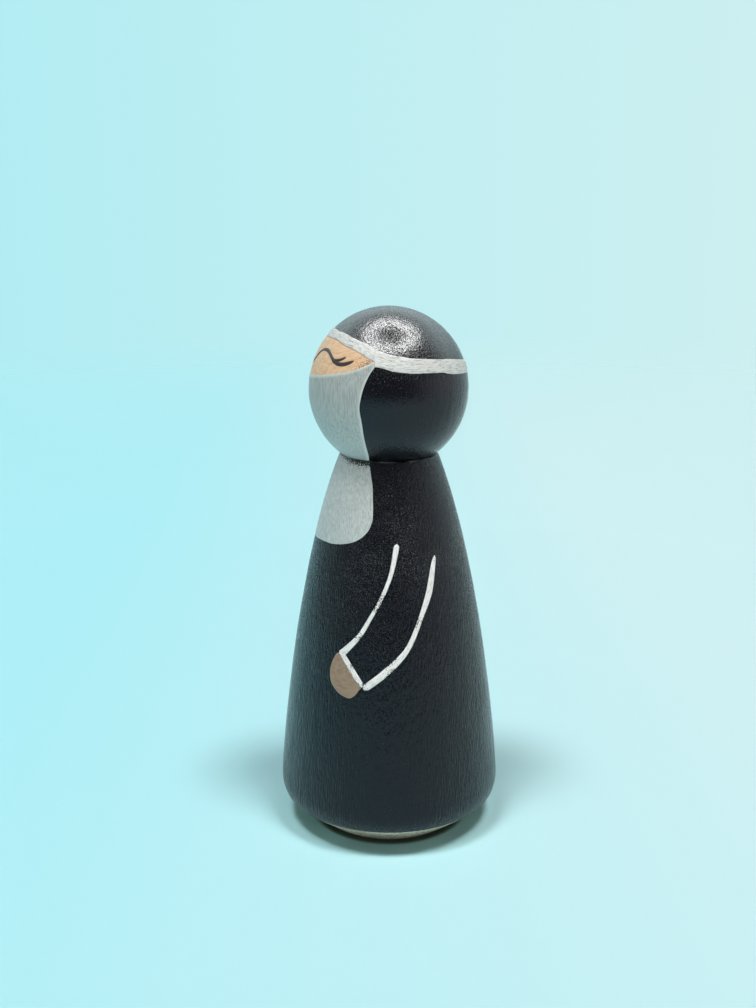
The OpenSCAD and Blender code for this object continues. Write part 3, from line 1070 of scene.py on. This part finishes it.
# Two soft lamps overhead light the paint and the floor.
def hangSoftLamps():
    for side, name in ((-1, "softOverheadFront"), (1, "softOverheadBack")):
        data = bpy.data.lights.new(name, "SUN")
        data.energy = pi * studio["overhead"] / 2
        data.angle = radians(studio["overheadWidth"])
        lamp = bpy.data.objects.new(name, data)
        lamp.rotation_euler = (side * radians(studio["overheadSpread"]), radians(studio["overheadTilt"]), 0)
        lamp.visible_glossy = False
        scene.collection.objects.link(lamp)


# A ring of round lamps straight over the doll, that the gloss on its head shows
def hangRingLamp():
    turn = radians(photoView["azimuth"])
    centre = Vector((sin(turn), -cos(turn), 0)) * studio["ringTowards"]
    centre += Vector((0, studio["ringBehind"], studio["ringHeight"]))
    for i in range(studio["ringLamps"]):
        way = 2 * pi * i / studio["ringLamps"]
        data = bpy.data.lights.new(f"ringLamp{i}", "AREA")
        data.shape = "DISK"
        data.size = studio["lampWidth"] * mm
        data.energy = studio["lampPower"]
        lamp = bpy.data.objects.new(data.name, data)
        lamp.location = (centre + studio["ringRadius"] * Vector((cos(way), sin(way), 0))) * mm
        lamp.visible_diffuse = False
        scene.collection.objects.link(lamp)


# A plain pale floor that fades into the backdrop's colour, with a painted contact shadow right at the base.
def layFloor():
    bm = bmesh.new()
    bmesh.ops.create_circle(bm, cap_ends=True, cap_tris=False, segments=96, radius=studio["floorRadius"])
    floor = linkObject(bm, "paleFloor")
    material, tree = newMaterial("paleFloorPaper")
    coords = addNode(tree, "ShaderNodeTexCoord").outputs["Object"]
    away = addNode(tree, "ShaderNodeVectorMath", {"operation": "LENGTH"}, {0: coords}).outputs["Value"]
    across = addNode(tree, "ShaderNodeSeparateXYZ", None, {"Vector": coords}).outputs["Y"]
    tone = mixColour(tree, ramp(tree, across, -0.08, 0.08), studio["floorLeft"], studio["floorRight"])
    # painted contact shadow: ambient occlusion darkens the floor's colour close to the doll
    contactShadeReach = {"samples": 8, "Distance": studio["contactShadeWidth"] * mm}
    openness = addNode(tree, "ShaderNodeAmbientOcclusion", contactShadeReach).outputs["AO"]
    tone = mixColour(tree, ramp(tree, openness, 0.45, 0.85), studio["floorContactShade"], tone)
    matt = {"Roughness": 0.95, "Specular IOR Level": 0.1}
    paper = addNode(tree, "ShaderNodeBsdfPrincipled", matt, {"Base Color": tone})
    clear = addNode(tree, "ShaderNodeBsdfTransparent")
    mixed = addNode(tree, "ShaderNodeMixShader", None, {
        0: ramp(tree, away, *studio["floorFade"]), 1: paper.outputs["BSDF"], 2: clear.outputs["BSDF"]
    })
    addNode(tree, "ShaderNodeOutputMaterial", None, {"Surface": mixed.outputs["Shader"]})
    floor.data.materials.append(material)


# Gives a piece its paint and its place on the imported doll.
def dress(piece, material, slot, *nodes):
    piece.data.materials.append(material)
    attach(piece, "root")
    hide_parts(*nodes)


placeCamera()
lightWorld()
hangSoftLamps()
hangRingLamp()
layFloor()
print("stage ready")

# pitted and the heights of the painted glint specks are in mm above the floor, grainTall is in mm
scarfBlack = blackGlossAcrylic("blackScarfAcrylic", {
    "varnish": 1.5, "tint": (0.82, 0.76, 0.85, 1.0), "grainTall": 0.09,
    "pitted": (75, 80), "pitLevel": 0.74, "glintSpeckled": (76.5, 80.5, 84),
})
robeBlack = blackGlossAcrylic("blackRobeAcrylic", {
    "varnish": 1.5, "tint": (0.7, 0.64, 0.72, 1.0), "grainTall": 0.22,
    "pitted": (14, 40), "pitLevel": 0.69, "glintSpeckled": (26, 52, 68),
    # heights above this get the painted highlight along the neck shelf's edge
    "neckHighlightAbove": dollSize["bodyTop"] + 0.02,
})
# varnish pools on the end grain of the crown
capBlack = blackGlossAcrylic("blackCapAcrylic", {
    "varnish": 1.9, "tint": (1.0, 1.0, 1.0, 1.0), "grainTall": 0.045,
    "pitted": (70, 80), "pitLevel": 0.66,
})

# from thin to base along the streaks; rim, width, long and height in mm
greyPaint = {
    "rimColour": "#b9c2c0", "rim": 0.3, "rough": 0.42, "height": 0.025,
    "width": 0.2, "long": 2.4, "from": 0.36, "to": 0.6,
}
veilGrey = brushedAcrylic("greyVeilAcrylic", {
    **greyPaint, "base": "#a5adab", "thin": "#8b9391", "rim": 0.6,
})
bibGrey = brushedAcrylic("greyBibAcrylic", {
    **greyPaint, "base": "#bfc6c4", "thin": "#a3aba9",
    "runFrom": dollSize["bodyTop"] - 2, "runColour": "#14181c",
})
strokeWhite = brushedAcrylic("whiteStrokeAcrylic", {
    "base": "#eae8e6", "thin": "#d2d0ce", "rimColour": "#d6d4d2", "rim": 0.06, "rough": 0.4,
    "height": 0.02, "width": 0.22, "scale": (0.2, 1, 1), "from": 0.36, "to": 0.5,
    "skipLevel": 0.66, "skipSeed": 0.1, "skipColour": "#191b1f",
})
bandWhite = brushedAcrylic("whiteBandAcrylic", {
    "base": "#cdcfcc", "thin": "#868a88", "rimColour": "#c9cbc8", "rim": 0.1, "rough": 0.42,
    "height": 0.05, "width": 0.14, "scale": (0.13, 1, 1), "from": 0.37, "to": 0.48,
})
# its dark brown rim along the top edge is partly dark undercoat and partly a painted shadow under the
# band's raised edge
skin = brushedAcrylic("skinBrushedAcrylic", {
    "base": "#dbba97", "thin": "#c9a27d", "rimColour": "#6b4a33", "rim": 0.18, "rough": 0.4,
    "height": 0.012, "width": 0.4, "scale": (0.35, 1, 1), "from": 0.35, "to": 0.6,
    "cornerColour": "#6b4a33",
})
brown = brushedAcrylic("brownBrushedAcrylic", {
    "base": "#9a816a", "thin": "#89705a", "rimColour": "#b0a28f", "rim": 0.1, "rough": 0.42,
    "height": 0.015, "width": 0.4, "scale": (0.5, 0.5, 1), "from": 0.35, "to": 0.6,
})
ink = brushedAcrylic("darkBrownAcrylic", {
    "base": "#302927", "thin": "#3b3330", "rimColour": "#352d2a", "rim": 0.08, "rough": 0.4,
    "height": 0.015, "width": 0.3, "scale": (0.2, 1, 1), "from": 0.35, "to": 0.6,
})
wood = bareWood()
print("materials ready")

dress(makeWoodBody(), wood, "wood", "body")
dress(makeWoodHead(), wood, "wood", "head")
dress(makeRobe(), robeBlack, "black_paint", "robe_coat")
dress(makeBib(), bibGrey, "grey_paint", "bib")
dress(makeCap(), capBlack, "black_paint", "cap_coat")
dress(makeScarf(), scarfBlack, "black_paint", "scarf_coat")
dress(makeBand(), bandWhite, "white_paint", "headband")
dress(makeFace(), skin, "skin_paint", "face_patch")
dress(makeVeil(), veilGrey, "grey_paint", "veil")
print("coats ready")

for side, mirror in (("left", False), ("right", True)):
    dress(makeEye(f"{side}Eye", mirror), ink, "eye_paint", f"{side}_eye")
    dress(makeHand(f"{side}Hand", mirror), brown, "brown_paint", f"{side}_hand")
    for part, line, width in (
        ("sleeve_front", sleeveFront, sleeveStroke["width"]),
        ("sleeve_back", sleeveBack, sleeveStroke["width"]),
        ("cuff", cuffLine, sleeveStroke["cuffWidth"]),
    ):
        name = f"{side}_{part}"
        stroke = makeStroke(name + "Stroke", line, width, skirtSkin, bodyHeight, sleeveStroke, mirror)
        dress(stroke, strokeWhite, "white_paint", name)
print("strokes ready")

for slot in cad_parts["neck_dowel"].material_slots:
    slot.material = wood
